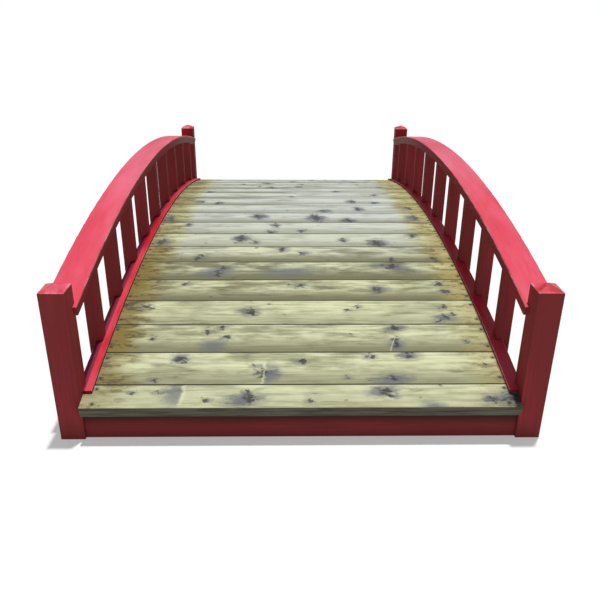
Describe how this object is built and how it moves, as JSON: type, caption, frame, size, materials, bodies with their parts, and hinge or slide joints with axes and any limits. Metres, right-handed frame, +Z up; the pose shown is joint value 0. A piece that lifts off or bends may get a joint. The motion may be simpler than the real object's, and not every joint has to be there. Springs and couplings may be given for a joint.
{
  "type": "arched garden bridge",
  "caption": "Arched timber garden bridge with a plank deck, square posts, upright balusters and bent handrails, to walk over a small stream or a dip in a path.",
  "frame": {"origin": "on the ground under the middle of the deck", "axes": "+Y along the bridge from the near end to the far end, +X to the right, +Z up"},
  "size_m": [1.818, 3.3844, 0.709],
  "materials": {
    "red_paint": "red paint, satin, on planed timber",
    "deck_timber": "weathered pressure-treated softwood, knotty",
    "frame_timber": "pressure-treated softwood, unpainted"
  },
  "bodies": {
    "root": {"post_front_left": "red_paint", "post_front_right": "red_paint", "post_back_left": "red_paint", "post_back_right": "red_paint", "end_board_front": "red_paint", "end_board_back": "red_paint", "stringer_left": "frame_timber", "stringer_centre": "frame_timber", "stringer_right": "frame_timber", "handrail_left": "red_paint", "handrail_right": "red_paint", "under_rail_left": "red_paint", "under_rail_right": "red_paint", "bottom_rail_left": "red_paint", "bottom_rail_right": "red_paint", "balusters_left": "red_paint", "balusters_right": "red_paint", "deck_plank_01": "deck_timber", "deck_plank_02": "deck_timber", "deck_plank_03": "deck_timber", "deck_plank_04": "deck_timber", "deck_plank_05": "deck_timber", "deck_plank_06": "deck_timber", "deck_plank_07": "deck_timber", "deck_plank_08": "deck_timber", "deck_plank_09": "deck_timber", "deck_plank_10": "deck_timber", "deck_plank_11": "deck_timber", "deck_plank_12": "deck_timber", "deck_plank_13": "deck_timber", "deck_plank_14": "deck_timber", "deck_plank_15": "deck_timber", "deck_plank_16": "deck_timber", "deck_plank_17": "deck_timber", "deck_plank_18": "deck_timber", "deck_plank_19": "deck_timber"}
  },
  "joints": []
}
